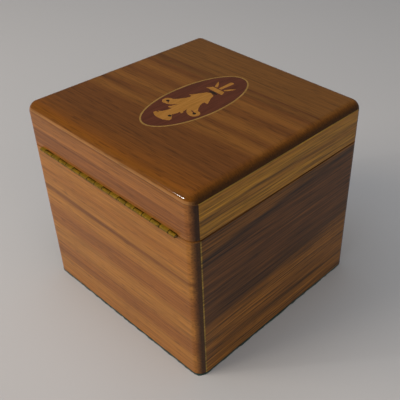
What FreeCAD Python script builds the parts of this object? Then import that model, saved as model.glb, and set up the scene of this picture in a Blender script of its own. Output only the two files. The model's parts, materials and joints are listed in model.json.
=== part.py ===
import FreeCAD, Part
import enum
import math
import os
import Sketcher

# A lacquered walnut money box, closed, seen from its front along +Y.
# +Z is up, the origin is the centre of the underside, the hinge is at the back (+Y).

doc = FreeCAD.newDocument("money_box")

# Driving dimensions in millimetres, one row of the sheet each
DIMENSIONS = {
    # Box: outside size, boards and the joints between them
    "box_width": 133,
    "box_depth": 133,
    "box_height": 122.2,
    "lid_height": 25.8,
    "lid_gap": 0.3,
    "board_thickness": 6,
    "rebate_depth": 1.5,
    "top_thickness": 6,
    "base_thickness": 5,
    "base_seat": 3,
    "baize_thickness": 1,
    "baize_inset": 0.2,
    "arris_radius": 6,
    "edge_easing": 0.4,
    # Coin slot in the front rail of the lid
    "slot_length": 36,
    "slot_height": 5,
    "slot_drop": 7,
    "slot_corner": 1,
    # Oval marquetry panel in the lid
    "oval_width": 35.1,
    "oval_length": 75.9,
    "stringing_width": 1,
    "inlay_thickness": 1.2,
    # Continuous hinge
    "hinge_length": 111,
    "knuckle_length": 6.35,
    "knuckle_gap": 0.2,
    "knuckle_radius": 1,
    "notch_clearance": 0.3,
    "pin_radius": 0.5,
    "pin_clearance": 0.05,
    "leaf_thickness": 0.5,
    "leaf_margin": 1,
    "leaf_play": 0.1,
    # Wood screws
    "screw_shank": 1.6,
    "screw_clearance": 0.1,
    "screw_tip_cover": 0.8,
    "hinge_screw_length": 6,
    "hinge_screw_pitch": 44.45,
    "hinge_screw_count": 3,
    # Box lock and its strike
    "plate_thickness": 1,
    "hook_clearance": 0.4,
    "hook_length": 6.9,
    "hook_stem_width": 2.2,
    "hook_foot_length": 2,
    "hook_foot_height": 1.6,
    "hook_room": 0.8,
    "strike_height": 9,
    "bolt_travel": 3,
    "bolt_clearance": 0.2,
    "bolt_thickness": 1.4,
    "bolt_bar_height": 3,
    "bolt_nose_height": 1.8,
    "bolt_upright_width": 2,
    "bolt_lug_drop": 2,
    "bolt_lug_width": 1.7,
    "talon_width": 3.4,
    "stud_radius": 0.8,
    "stud_margin": 1,
    "spring_thickness": 0.35,
    "spring_bow": 1.7,
    "spring_height": 2.4,
    "spring_clearance": 0.15,
    "case_margin": 0.65,
    "cover_wall": 0.8,
    "cover_rounding": 0.6,
    "lock_ear": 6,
    "lock_foot": 1.2,
    # Keyhole and its brass liner
    "key_drop": 5,
    "keyhole_radius": 2.2,
    "keyhole_slot_width": 2,
    "keyhole_slot_length": 6,
    "key_post_radius": 0.8,
    "key_post_setback": 1,
    "liner_width": 1,
    "liner_depth": 2,
}

# Marquetry outlines, as shares of the oval's half width and half length from its centre.
# A stroke of two points is straight and one of three is an arc. These are the right half, top to bottom.
LEAF_STROKES = [
    [(0, 0.752), (0.21, 0.742), (0.385, 0.695)],
    [(0.385, 0.695), (0.372, 0.655), (0.335, 0.618)],
    [(0.335, 0.618), (0.19, 0.53), (0.335, 0.435)],
    [(0.335, 0.435), (0.245, 0.285)],
    [(0.245, 0.285), (0.41, 0.375), (0.64, 0.402)],
    [(0.64, 0.402), (0.615, 0.235)],
    [(0.615, 0.235), (0.42, 0.125), (0.315, 0.015)],
    [(0.315, 0.015), (0.39, 0.003), (0.47, -0.03)],
    [(0.47, -0.03), (0.33, -0.13), (0.2, -0.265)],
    [(0.2, -0.265), (0, -0.3)],
]
MIDDLE_STEM_STROKES = [
    [(0, -0.49), (0.06, -0.49)],
    [(0.06, -0.49), (0.08, -0.755)],
    [(0.08, -0.755), (0.055, -0.778), (0, -0.785)],
]
SIDE_STEM_STROKES = [
    [(0.15, -0.505), (0.235, -0.49)],
    [(0.235, -0.49), (0.345, -0.565), (0.43, -0.66)],
    [(0.43, -0.66), (0.27, -0.59), (0.15, -0.505)],
]
TIE_STROKES = [
    [(-0.36, -0.368), (0.43, -0.385)],
    [(0.43, -0.385), (0.35, -0.43), (0.3, -0.472)],
    [(0.3, -0.472), (-0.27, -0.465)],
    [(-0.27, -0.465), (-0.32, -0.42), (-0.36, -0.368)],
]
SHADOW_STROKES = [
    [(-0.25, -0.325), (-0.05, -0.31), (0.2, -0.335)],
    [(0.2, -0.335), (-0.05, -0.357), (-0.25, -0.325)],
]
SCROLL_CENTRE = (0.64, 0.318)
SCROLL_SHARE = 0.193
SCROLL_EYE_SHARE = 0.06
CROWN_EYE_CENTRE = (-0.175, 0.605)
CROWN_EYE_SHARE = 0.06

# Formulas that several pieces share
HALF_WIDTH = "(dims.box_width / 2)"
HALF_DEPTH = "(dims.box_depth / 2)"
BOARD = "dims.board_thickness"
LIP = "(dims.board_thickness - dims.rebate_depth)"
SEAM = "(dims.box_height - dims.lid_height)"
RIM = f"({SEAM} - dims.lid_gap / 2)"
LID_FOOT = f"({SEAM} + dims.lid_gap / 2)"
BODY_HEIGHT = f"({RIM} - dims.baize_thickness)"
TOP_LIP = "(dims.top_thickness - dims.rebate_depth)"
RAIL_HEIGHT = f"(dims.box_height - {TOP_LIP} - {LID_FOOT})"
SLOT_LEVEL = f"({RAIL_HEIGHT} - dims.slot_drop)"

LEAF_RECESS = "(dims.knuckle_radius - dims.lid_gap / 2)"
LEAF_REACH = f"(dims.knuckle_radius + {BOARD} - dims.leaf_margin)"
LEAF_NOTCH = "(dims.knuckle_radius + dims.notch_clearance)"
LEAF_FACE = "(dims.knuckle_radius - dims.leaf_thickness)"
LEAF_SCREW_LINE = f"(({LEAF_REACH} + {LEAF_NOTCH}) / 2)"
LEAF_KNUCKLES = "floor(dims.hinge_length / 2 / dims.knuckle_length)"
PIN_BORE = "(dims.pin_radius + dims.pin_clearance)"
PILOT = "(dims.screw_shank + dims.screw_clearance) / 2"

# Lock frame: X across, Y inwards from the front board's inner face, Z up from the rim
NOSE_REACH = "(dims.hook_stem_width / 2 + dims.hook_foot_length + dims.bolt_travel)"
UPRIGHT_END = f"({NOSE_REACH} + dims.bolt_upright_width)"
HOOK_PITCH = f"({UPRIGHT_END} + dims.hook_room + dims.hook_stem_width / 2)"
BOLT_SWEEP = f"(({HOOK_PITCH} + {UPRIGHT_END} + dims.bolt_travel) / 2)"
HOOK_ONE = f"(dims.bolt_travel - {BOLT_SWEEP})"
HOOK_TWO = f"({HOOK_ONE} + {HOOK_PITCH})"
HOOKS = (HOOK_ONE, HOOK_TWO)
HOOK_END = "(dims.hook_length - dims.lid_gap)"
NOSE_FOOT = f"({HOOK_END} - dims.hook_foot_height - dims.hook_clearance)"
BAR_TOP = f"({HOOK_END} + dims.hook_clearance)"
BAR_FOOT = f"({BAR_TOP} + dims.bolt_bar_height)"
BOLT_BACK = "(dims.bolt_thickness - dims.bolt_clearance)"
STUD_PLAY = "(dims.stud_radius + dims.bolt_clearance / 2)"
STUD_ONE = f"({HOOK_ONE} + dims.stud_margin + {STUD_PLAY})"
STUD_TWO = f"({HOOK_TWO} + {UPRIGHT_END} - dims.stud_margin - {STUD_PLAY} - dims.bolt_travel)"
STUD_LEVEL = f"({BAR_TOP} + dims.bolt_bar_height / 2)"
KEY_LEVEL = f"({BAR_FOOT} + dims.key_drop)"
KEYHOLE_FOOT = f"({KEY_LEVEL} + dims.keyhole_slot_length)"
COVER_FACE = f"({BOLT_BACK} + dims.spring_clearance + dims.spring_bow + dims.spring_thickness)"
CASE_DEPTH = f"({COVER_FACE} + dims.cover_wall)"
CASE_HALF = f"({BOLT_SWEEP} + dims.case_margin + dims.cover_wall)"
CASE_DROP = f"({KEYHOLE_FOOT} + dims.case_margin + dims.cover_wall)"
LOCK_HALF = f"({CASE_HALF} + dims.lock_ear)"
LOCK_DROP = f"({CASE_DROP} + dims.lock_foot)"
LOCK_RECESS = "(dims.plate_thickness + dims.hook_clearance)"
LOCK_SCREW_X = f"({CASE_HALF} + dims.lock_ear / 2)"
LOCK_SCREW_LEVEL = f"({LOCK_DROP} / 2)"
LOCK_SCREW_LENGTH = f"({BOARD} - dims.hook_clearance - dims.screw_tip_cover)"
STRIKE_SCREW_X = f"({CASE_HALF} - dims.lock_ear / 2)"
STRIKE_SCREW_LEVEL = "(dims.strike_height / 2)"
STRIKE_SCREW_LENGTH = f"({BOARD} + dims.plate_thickness - dims.screw_tip_cover)"

NEAR = 0.001

# Degrees between a screw's axis and the side of its head
COUNTERSINK = 45

# Small rounds that come many times over are drawn with flat sides
SCREW_SIDES = 12
BARREL_SIDES = 16


class Spot(enum.IntEnum):
    """The points of a sketched curve, as sketches number them."""
    START = 1
    END = 2
    CENTRE = 3


# The first curve of every sketch is its X axis, which starts at the origin
X_AXIS = -1
ORIGIN = (X_AXIS, Spot.START)


def make_sheet():
    sheet = doc.addObject("Spreadsheet::Sheet", "dims")
    for row, (name, number) in enumerate(DIMENSIONS.items(), start=1):
        sheet.set(f"A{row}", name)
        sheet.set(f"B{row}", str(number))
        sheet.setAlias(f"B{row}", name)
    doc.recompute()
    return sheet


sheet = make_sheet()


def size(formula):
    """The length that a formula on the sheet's names gives."""
    return float(sheet.evalExpression(str(formula)))


# Sketches and features

def new_body(label):
    body = doc.addObject("PartDesign::Body", label)
    body.Label = label
    return body


def origin_part(body, role):
    return next(part for part in body.Origin.OriginFeatures if part.Role == role)


def new_sketch(body, name, plane, offset="0"):
    sketch = body.newObject("Sketcher::SketchObject", f"{body.Name}_{name}")
    sketch.AttachmentSupport = (origin_part(body, plane), [""])
    sketch.MapMode = "FlatFace"
    sketch.setExpression("AttachmentOffset.Base.z", offset)
    return sketch


def bind(sketch, kind, places, formula):
    """Add one dimension to a sketch, driven by a formula."""
    number = sketch.addConstraint(Sketcher.Constraint(kind, *places, size(formula)))
    sketch.setExpression(f"Constraints[{number}]", formula)


def hold(sketch, line, point, x, y):
    bind(sketch, "DistanceX", (*ORIGIN, line, point), x)
    bind(sketch, "DistanceY", (*ORIGIN, line, point), y)


def polygon(sketch, corners):
    places = [FreeCAD.Vector(size(x), size(y), 0) for x, y in corners]
    lines = []
    for start, end in zip(places, places[1:] + places[:1]):
        lines.append(sketch.addGeometry(Part.LineSegment(start, end), False))
    for line, following in zip(lines, lines[1:] + lines[:1]):
        sketch.addConstraint(Sketcher.Constraint("Coincident", line, Spot.END, following, Spot.START))
    for line, (x, y) in zip(lines, corners):
        hold(sketch, line, Spot.START, x, y)


def rectangle(sketch, left, right, low, high):
    polygon(sketch, [(left, low), (right, low), (right, high), (left, high)])


def circle(sketch, x, y, radius):
    centre = FreeCAD.Vector(size(x), size(y), 0)
    ring = sketch.addGeometry(Part.Circle(centre, FreeCAD.Vector(0, 0, 1), size(radius)), False)
    hold(sketch, ring, Spot.CENTRE, x, y)
    bind(sketch, "Radius", (ring,), radius)


def flat_share(sides):
    """How near the flats of a many-sided round come to its middle, as a share of its radius."""
    return math.cos(math.pi / sides)


def many_sided(sketch, x, y, radius, sides):
    """A round with flat sides, its corners on a circle."""
    turns = [2 * math.pi * number / sides for number in range(sides)]
    polygon(sketch, [
        (f"{x} + ({radius}) * {math.cos(turn):.9f}", f"{y} + ({radius}) * {math.sin(turn):.9f}")
        for turn in turns
    ])


def upright_ellipse(sketch, width, length):
    """An ellipse about the sketch's origin with its long axis along the sketch's Y."""
    end = FreeCAD.Vector(0, size(length) / 2, 0)
    side = FreeCAD.Vector(size(width) / 2, 0, 0)
    oval = sketch.addGeometry(Part.Ellipse(end, side, FreeCAD.Vector()), False)
    sketch.exposeInternalGeometry(oval)
    long_axis = oval + 1
    short_axis = oval + 2
    sketch.addConstraint(Sketcher.Constraint("Coincident", oval, Spot.CENTRE, *ORIGIN))
    sketch.addConstraint(Sketcher.Constraint("Vertical", long_axis))
    bind(sketch, "Distance", (long_axis,), length)
    bind(sketch, "Distance", (short_axis,), width)


def feature(body, kind, sketch, formula=None, reverse=False, both_ways=False):
    """A pad or pocket of a sketch. A pocket with no length goes through everything."""
    made = body.newObject(f"PartDesign::{kind}", f"{sketch.Name}_{kind.lower()}")
    made.Profile = sketch
    made.Reversed = reverse
    if both_ways:
        made.SideType = "Symmetric"
    if formula is None:
        made.Type = "ThroughAll"
    else:
        made.setExpression("Length", formula)
    body.Tip = made
    return made


def middle(edge):
    return edge.valueAt((edge.FirstParameter + edge.LastParameter) / 2)


def chosen_edges(shape, chosen):
    """The names of the edges whose middle point is chosen."""
    return [f"Edge{number}" for number, edge in enumerate(shape.Edges, start=1) if chosen(middle(edge))]


def dress_edges(body, name, kind, sizing, formula, chosen):
    doc.recompute()
    base = body.Tip
    dressing = body.newObject(f"PartDesign::{kind}", f"{body.Name}_{name}")
    dressing.Base = (base, chosen_edges(base.Shape, chosen))
    dressing.setExpression(sizing, formula)
    body.Tip = dressing
    doc.recompute()


def round_edges(body, name, radius, chosen):
    """Round the edges of the body's last feature whose middle point is chosen."""
    dress_edges(body, name, "Fillet", "Radius", radius, chosen)


def ease_edges(body, name, chosen):
    """Take the sharpness off edges with a narrow flat."""
    dress_edges(body, name, "Chamfer", "Size", "dims.edge_easing", chosen)


def screw_holes(body, name, plane, offset, centres, thickness, reverse=False):
    """Holes countersunk through a plate, which take the heads of the wood screws flush."""
    sketch = new_sketch(body, name, plane, offset)
    for x, y in centres:
        many_sided(sketch, x, y, f"{PILOT} + {thickness} / {flat_share(SCREW_SIDES)}", SCREW_SIDES)
    sunk = feature(body, "Pocket", sketch, thickness, reverse)
    sunk.TaperAngle = -COUNTERSINK


def pilot_holes(body, name, plane, offset, centres, depth, reverse=False):
    sketch = new_sketch(body, name, plane, offset)
    for x, y in centres:
        many_sided(sketch, x, y, PILOT, SCREW_SIDES)
    feature(body, "Pocket", sketch, depth, reverse)


def place(piece, x="0", y="0", z="0", axis=(0, 0, 1), turn=0):
    piece.Placement = FreeCAD.Placement(FreeCAD.Vector(), FreeCAD.Rotation(FreeCAD.Vector(*axis), turn))
    piece.setExpression("Placement.Base.x", x)
    piece.setExpression("Placement.Base.y", y)
    piece.setExpression("Placement.Base.z", z)


def at(level, height):
    return abs(level - height) < NEAR


# Boards of the box and rails of the lid

def outside(label, level, height, chosen, eased):
    """The outside of the glued-up box or lid: chosen edges are rounded over and the others eased."""
    body = new_body(label)
    plan = new_sketch(body, "plan", "XY_Plane")
    rectangle(plan, f"-{HALF_WIDTH}", HALF_WIDTH, f"-{HALF_DEPTH}", HALF_DEPTH)
    feature(body, "Pad", plan, height)
    round_edges(body, "roundover", "dims.arris_radius", chosen)
    levels = [size(edge) for edge in eased]
    ease_edges(body, "easing", lambda spot: any(at(spot.z, edge) for edge in levels))
    place(body, z=level)
    return body


def upright(spot):
    return at(abs(spot.x), size(HALF_WIDTH)) and at(abs(spot.y), size(HALF_DEPTH))


def box_outside():
    return outside("box_outside", "dims.baize_thickness", BODY_HEIGHT, upright, ("0", BODY_HEIGHT))


def lid_outside():
    height = f"(dims.box_height - {LID_FOOT})"
    top = size(height)
    return outside("lid_outside", LID_FOOT, height, lambda spot: upright(spot) or at(spot.z, top), ("0",))


def rounded_over(blanks, whole):
    """The boards after routing: the roundover is cut after glueing, so it runs across the joints."""
    boards = []
    for label, blank in blanks.items():
        board = doc.addObject("Part::Common", label)
        board.Base = blank
        board.Tool = whole
        boards.append(board)
    return boards


def cross_board(name, height):
    """A full-width front or back board, rebated at both ends so that only its lip shows as end grain."""
    body = new_body(f"{name}_blank")
    plan = new_sketch(body, "plan", "XY_Plane")
    inner_x = f"({HALF_WIDTH} - {BOARD})"
    inner_y = f"-({HALF_DEPTH} - {BOARD})"
    lip_y = f"-({HALF_DEPTH} - {LIP})"
    right_end = [(HALF_WIDTH, f"-{HALF_DEPTH}"), (HALF_WIDTH, lip_y), (inner_x, lip_y), (inner_x, inner_y)]
    left_end = [(f"-{x}", y) for x, y in reversed(right_end)]
    polygon(plan, right_end + left_end)
    feature(body, "Pad", plan, height)
    return body


def side_board(name, height):
    """A left or right board, housed between the rebates of the front and the back."""
    body = new_body(f"{name}_blank")
    plan = new_sketch(body, "plan", "XY_Plane")
    reach = f"({HALF_DEPTH} - {LIP})"
    rectangle(plan, f"-{HALF_WIDTH}", f"-({HALF_WIDTH} - {BOARD})", f"-{reach}", reach)
    feature(body, "Pad", plan, height)
    return body


def base_rebate(body, left, right, low, high):
    sketch = new_sketch(body, "base_rebate", "XY_Plane")
    rectangle(sketch, left, right, low, high)
    feature(body, "Pocket", sketch, "dims.base_thickness", reverse=True)


def hinge_seat(body, level, upwards):
    """The recess for a hinge leaf in the edge of a back board, with its pilot holes."""
    recess = new_sketch(body, "hinge_seat", "XY_Plane", level)
    reach = "(dims.hinge_length / 2 + dims.leaf_play)"
    inner = f"-({HALF_DEPTH} - {BOARD} + dims.leaf_margin - dims.leaf_play)"
    rectangle(recess, f"-{reach}", reach, f"-({HALF_DEPTH} + {BOARD})", inner)
    feature(body, "Pocket", recess, LEAF_RECESS, upwards)
    line = f"({LEAF_SCREW_LINE} - {HALF_DEPTH} - dims.knuckle_radius)"
    centres = [(x, line) for x in hinge_screw_places()]
    depth = f"{LEAF_RECESS} + dims.hinge_screw_length - dims.leaf_thickness + dims.screw_clearance"
    pilot_holes(body, "hinge_pilots", "XY_Plane", level, centres, depth, upwards)


def hinge_screw_places():
    count = int(size("dims.hinge_screw_count"))
    first = "(dims.hinge_screw_count - 1) / 2"
    return [f"({number} - {first}) * dims.hinge_screw_pitch" for number in range(count)]


def keyhole(body, name, kind, offset, level, extra, depth, reverse=False):
    """A round hole with a slot below it, cut or raised, made wider by extra all round."""
    bow = new_sketch(body, f"{name}_bow", "XZ_Plane", offset)
    circle(bow, "0", level, f"dims.keyhole_radius + {extra}")
    feature(body, kind, bow, depth, reverse)
    slot = new_sketch(body, f"{name}_slot", "XZ_Plane", offset)
    half = f"(dims.keyhole_slot_width / 2 + {extra})"
    foot = f"{level} - dims.keyhole_slot_length - {extra}"
    rectangle(slot, f"-{half}", half, foot, level)
    feature(body, kind, slot, depth, reverse)


def body_front_board():
    """The front board, with the lock let into its inner face and a keyhole through it."""
    body = cross_board("front", BODY_HEIGHT)
    seat = f"({HALF_WIDTH} - dims.base_seat)"
    base_rebate(body, f"-{seat}", seat, f"-({HALF_DEPTH} - dims.base_seat)", f"-({HALF_DEPTH} - 2 * {BOARD})")
    inner_face = f"({HALF_DEPTH} - {BOARD})"
    recess = new_sketch(body, "lock_seat", "XZ_Plane", inner_face)
    rectangle(recess, f"-{LOCK_HALF}", LOCK_HALF, f"{BODY_HEIGHT} - {LOCK_DROP}", f"{BODY_HEIGHT} + {BOARD}")
    feature(body, "Pocket", recess, LOCK_RECESS, reverse=True)
    level = f"({BODY_HEIGHT} - {KEY_LEVEL})"
    keyhole(body, "keyhole", "Pocket", inner_face, level, "0", BOARD, reverse=True)
    keyhole(body, "liner_seat", "Pocket", HALF_DEPTH, level, "dims.liner_width", "dims.liner_depth")
    centres = [(x, f"{BODY_HEIGHT} - {z}") for x, z in lock_screw_places()]
    depth = f"{LOCK_RECESS} + {LOCK_SCREW_LENGTH} - dims.plate_thickness + dims.screw_clearance"
    pilot_holes(body, "lock_pilots", "XZ_Plane", inner_face, centres, depth, reverse=True)
    place(body, z="dims.baize_thickness")
    return body


def body_back_board():
    """The back board: a front board turned round, with a hinge leaf let into its rim."""
    body = cross_board("back", BODY_HEIGHT)
    seat = f"({HALF_WIDTH} - dims.base_seat)"
    base_rebate(body, f"-{seat}", seat, f"-({HALF_DEPTH} - dims.base_seat)", f"-({HALF_DEPTH} - 2 * {BOARD})")
    hinge_seat(body, BODY_HEIGHT, upwards=False)
    place(body, z="dims.baize_thickness", turn=180)
    return body


def body_side_board(name, turn):
    body = side_board(name, BODY_HEIGHT)
    base_rebate(
        body, f"-({HALF_WIDTH} - dims.base_seat)", f"-({HALF_WIDTH} - 2 * {BOARD})",
        f"-{HALF_DEPTH}", HALF_DEPTH,
    )
    place(body, z="dims.baize_thickness", turn=turn)
    return body


def base_board():
    board = doc.addObject("Part::Box", "base_board")
    board.setExpression("Length", "dims.box_width - 2 * dims.base_seat")
    board.setExpression("Width", "dims.box_depth - 2 * dims.base_seat")
    board.setExpression("Height", "dims.base_thickness")
    place(board, f"dims.base_seat - {HALF_WIDTH}", f"dims.base_seat - {HALF_DEPTH}", "dims.baize_thickness")
    return board


def base_baize():
    """Green baize glued under the whole base."""
    body = new_body("base_baize")
    plan = new_sketch(body, "plan", "XY_Plane")
    half_x = f"({HALF_WIDTH} - dims.baize_inset)"
    half_y = f"({HALF_DEPTH} - dims.baize_inset)"
    rectangle(plan, f"-{half_x}", half_x, f"-{half_y}", half_y)
    feature(body, "Pad", plan, "dims.baize_thickness")
    end = size(half_x)
    face = size(half_y)
    round_edges(
        body, "corners", "dims.arris_radius - dims.baize_inset",
        lambda spot: at(abs(spot.x), end) and at(abs(spot.y), face),
    )
    return body


def lid_front_rail():
    """The front rail of the lid, with the coin slot through it."""
    body = cross_board("lid_front", RAIL_HEIGHT)
    slot = new_sketch(body, "coin_slot", "XZ_Plane", f"({HALF_DEPTH} - {BOARD})")
    half = "(dims.slot_length / 2)"
    low = f"{SLOT_LEVEL} - dims.slot_height / 2"
    high = f"{SLOT_LEVEL} + dims.slot_height / 2"
    rectangle(slot, f"-{half}", half, low, high)
    feature(body, "Pocket", slot, BOARD, reverse=True)
    end = size(half)
    board_middle = size(f"{BOARD} / 2 - {HALF_DEPTH}")
    round_edges(
        body, "slot_corners", "dims.slot_corner",
        lambda spot: at(abs(spot.x), end) and at(spot.y, board_middle),
    )
    face = -size(HALF_DEPTH)
    bottom = size(low)
    top = size(high)
    ease_edges(
        body, "slot_easing",
        lambda spot: at(spot.y, face) and bottom - NEAR < spot.z < top + NEAR and abs(spot.x) < end + NEAR,
    )
    centres = [(x, STRIKE_SCREW_LEVEL) for x in (f"-{STRIKE_SCREW_X}", STRIKE_SCREW_X)]
    depth = f"{STRIKE_SCREW_LENGTH} - dims.plate_thickness + dims.screw_clearance"
    pilot_holes(body, "strike_pilots", "XZ_Plane", f"({HALF_DEPTH} - {BOARD})", centres, depth, reverse=True)
    place(body, z=LID_FOOT)
    return body


def lid_back_rail():
    body = cross_board("lid_back", RAIL_HEIGHT)
    hinge_seat(body, "0", upwards=True)
    place(body, z=LID_FOOT, turn=180)
    return body


def lid_side_rail(name, turn):
    body = side_board(name, RAIL_HEIGHT)
    place(body, z=LID_FOOT, turn=turn)
    return body


def lid_top_board():
    """The top board lies on the rails by a lip and drops between them by the depth of a rebate."""
    body = new_body("lid_top_blank")
    plan = new_sketch(body, "plan", "XY_Plane")
    rectangle(plan, f"-{HALF_WIDTH}", HALF_WIDTH, f"-{HALF_DEPTH}", HALF_DEPTH)
    feature(body, "Pad", plan, TOP_LIP)
    tongue = new_sketch(body, "tongue", "XY_Plane")
    tongue_x = f"({HALF_WIDTH} - {BOARD})"
    tongue_y = f"({HALF_DEPTH} - {BOARD})"
    rectangle(tongue, f"-{tongue_x}", tongue_x, f"-{tongue_y}", tongue_y)
    feature(body, "Pad", tongue, "dims.rebate_depth", reverse=True)
    oval = new_sketch(body, "oval_seat", "XY_Plane", TOP_LIP)
    upright_ellipse(oval, "dims.oval_width", "dims.oval_length")
    feature(body, "Pocket", oval, "dims.inlay_thickness")
    place(body, z=f"dims.box_height - {TOP_LIP}")
    return body


# Marquetry panel

def place_inlay(piece):
    place(piece, z="dims.box_height - dims.inlay_thickness")


INNER_WIDTH = "(dims.oval_width - 2 * dims.stringing_width)"
INNER_LENGTH = "(dims.oval_length - 2 * dims.stringing_width)"


def inlay_stringing():
    """The pale line round the oval."""
    body = new_body("inlay_stringing")
    ring = new_sketch(body, "ring", "XY_Plane")
    upright_ellipse(ring, "dims.oval_width", "dims.oval_length")
    upright_ellipse(ring, INNER_WIDTH, INNER_LENGTH)
    feature(body, "Pad", ring, "dims.inlay_thickness")
    place_inlay(body)
    return body


def inlay_blank():
    body = new_body("inlay_blank")
    oval = new_sketch(body, "oval", "XY_Plane")
    upright_ellipse(oval, INNER_WIDTH, INNER_LENGTH)
    feature(body, "Pad", oval, "dims.inlay_thickness")
    place_inlay(body)
    return body


def on_oval(spot):
    across, along = spot
    return FreeCAD.Vector(across * size(INNER_WIDTH) / 2, along * size(INNER_LENGTH) / 2, 0)


def mirrored(strokes):
    """The same strokes on the left half, walked from bottom to top."""
    return [[(-across, along) for across, along in reversed(stroke)] for stroke in reversed(strokes)]


def stroke_edge(stroke):
    """A straight edge through two points, or an arc through three."""
    curve = {2: Part.LineSegment, 3: Part.Arc}[len(stroke)]
    return curve(*[on_oval(spot) for spot in stroke]).toShape()


def sawn(strokes):
    """A solid of the veneer's thickness, sawn along a closed run of strokes."""
    face = Part.Face(Part.Wire([stroke_edge(stroke) for stroke in strokes]))
    return face.extrude(FreeCAD.Vector(0, 0, size("dims.inlay_thickness")))


def disc(centre, share):
    return Part.makeCylinder(share * size(INNER_WIDTH) / 2, size("dims.inlay_thickness"), on_oval(centre))


def veneer(label, shape):
    piece = doc.addObject("Part::Feature", label)
    piece.Shape = shape
    place_inlay(piece)
    return piece


def inlay_pieces():
    """An acanthus leaf with two scrolls over a tie and three stems, let into a dark ground."""
    across, along = SCROLL_CENTRE
    scrolls = [SCROLL_CENTRE, (-across, along)]
    eyes = [disc(centre, SCROLL_EYE_SHARE) for centre in scrolls]
    eyes.append(disc(CROWN_EYE_CENTRE, CROWN_EYE_SHARE))
    leaf = sawn(LEAF_STROKES + mirrored(LEAF_STROKES))
    leaf = leaf.fuse([disc(centre, SCROLL_SHARE) for centre in scrolls]).removeSplitter().cut(eyes)
    middle_stem = sawn(MIDDLE_STEM_STROKES + mirrored(MIDDLE_STEM_STROKES))
    stems = [middle_stem, sawn(SIDE_STEM_STROKES), sawn(mirrored(SIDE_STEM_STROKES))]
    motif = [
        veneer("inlay_leaf", leaf),
        veneer("inlay_tie", sawn(TIE_STROKES)),
        veneer("inlay_stems", Part.makeCompound(stems)),
        veneer("inlay_dark_accents", Part.makeCompound(eyes + [sawn(SHADOW_STROKES)])),
    ]
    together = doc.addObject("Part::Compound", "inlay_motif")
    together.Links = motif
    ground = doc.addObject("Part::Cut", "inlay_ground")
    ground.Base = inlay_blank()
    ground.Tool = together
    return [ground, inlay_stringing()] + motif


# Hinge, in a frame with its pin along X

def knuckle(body, name, start, length):
    """One knuckle: a barrel and the strip that joins it to its leaf."""
    strip = new_sketch(body, f"{name}_strip", "YZ_Plane", start)
    rectangle(strip, f"-{LEAF_NOTCH}", "0", "-dims.knuckle_radius", f"-{LEAF_FACE}")
    barrel = new_sketch(body, f"{name}_barrel", "YZ_Plane", start)
    many_sided(barrel, "0", "0", "dims.knuckle_radius", BARREL_SIDES)
    return [feature(body, "Pad", strip, length), feature(body, "Pad", barrel, length)]


def hinge_leaf(label):
    """A leaf below the pin, with every second knuckle of the barrel."""
    body = new_body(label)
    plate = new_sketch(body, "plate", "YZ_Plane")
    rectangle(plate, f"-{LEAF_REACH}", f"-{LEAF_NOTCH}", "-dims.knuckle_radius", f"-{LEAF_FACE}")
    feature(body, "Pad", plate, "dims.hinge_length", both_ways=True)
    half_run = f"{LEAF_KNUCKLES} * dims.knuckle_length"
    end_length = f"dims.hinge_length / 2 - {half_run} - dims.knuckle_gap / 2"
    knuckle(body, "end", "-dims.hinge_length / 2", end_length)
    start = f"dims.knuckle_length + dims.knuckle_gap / 2 - {half_run}"
    first = knuckle(body, "first", start, "dims.knuckle_length - dims.knuckle_gap")
    doc.recompute()
    row = body.newObject("PartDesign::LinearPattern", f"{label}_row")
    row.Originals = first
    row.Direction = (origin_part(body, "X_Axis"), [""])
    row.setExpression("Length", f"({LEAF_KNUCKLES} - 1) * 2 * dims.knuckle_length")
    row.setExpression("Occurrences", LEAF_KNUCKLES)
    body.Tip = row
    bore = new_sketch(body, "bore", "YZ_Plane")
    many_sided(bore, "0", "0", f"{PIN_BORE} / {flat_share(BARREL_SIDES)}", BARREL_SIDES)
    feature(body, "Pocket", bore, "2 * dims.hinge_length", both_ways=True)
    centres = [(x, f"-{LEAF_SCREW_LINE}") for x in hinge_screw_places()]
    screw_holes(body, "screw_holes", "XY_Plane", f"-{LEAF_FACE}", centres, "dims.leaf_thickness")
    return body


def place_hinge(piece, turn=0, rise="0", line="0"):
    across = f"{HALF_DEPTH} + dims.knuckle_radius + {line}"
    place(piece, y=across, z=f"{SEAM} + {rise}", axis=(0, 1, 0), turn=turn)


def hinge_pin():
    body = new_body("hinge_pin")
    section = new_sketch(body, "section", "YZ_Plane")
    circle(section, "0", "0", "dims.pin_radius")
    feature(body, "Pad", section, "dims.hinge_length", both_ways=True)
    place_hinge(body)
    return body


def wood_screws(label, length, count, pitch, plate):
    """A row of countersunk screws along X from the origin, heads up, each head as deep as its plate."""
    body = new_body(label)
    radius = "dims.screw_shank / 2"
    shank = new_sketch(body, "shank", "XY_Plane")
    many_sided(shank, "0", "0", radius, SCREW_SIDES)
    stem = feature(body, "Pad", shank, length, reverse=True)
    head = new_sketch(body, "head", "XY_Plane")
    many_sided(head, "0", "0", f"{radius} + {plate} / {flat_share(SCREW_SIDES)}", SCREW_SIDES)
    sunk = feature(body, "Pad", head, plate, reverse=True)
    sunk.TaperAngle = -COUNTERSINK
    doc.recompute()
    row = body.newObject("PartDesign::LinearPattern", f"{label}_row")
    row.Originals = [stem, sunk]
    row.Direction = (origin_part(body, "X_Axis"), [""])
    row.setExpression("Length", f"({count} - 1) * {pitch}")
    row.setExpression("Occurrences", count)
    body.Tip = row
    return body


def hinge_screws(label, turn):
    count = "dims.hinge_screw_count"
    pitch = "dims.hinge_screw_pitch"
    body = wood_screws(label, "dims.hinge_screw_length", count, pitch, "dims.leaf_thickness")
    start = f"({count} - 1) / 2 * {pitch}"
    side = -1 if turn else 1
    place_hinge(body, turn, f"{-side} * {LEAF_FACE}", f"-{LEAF_SCREW_LINE}")
    body.setExpression("Placement.Base.x", f"{-side} * {start}")
    return body


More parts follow.
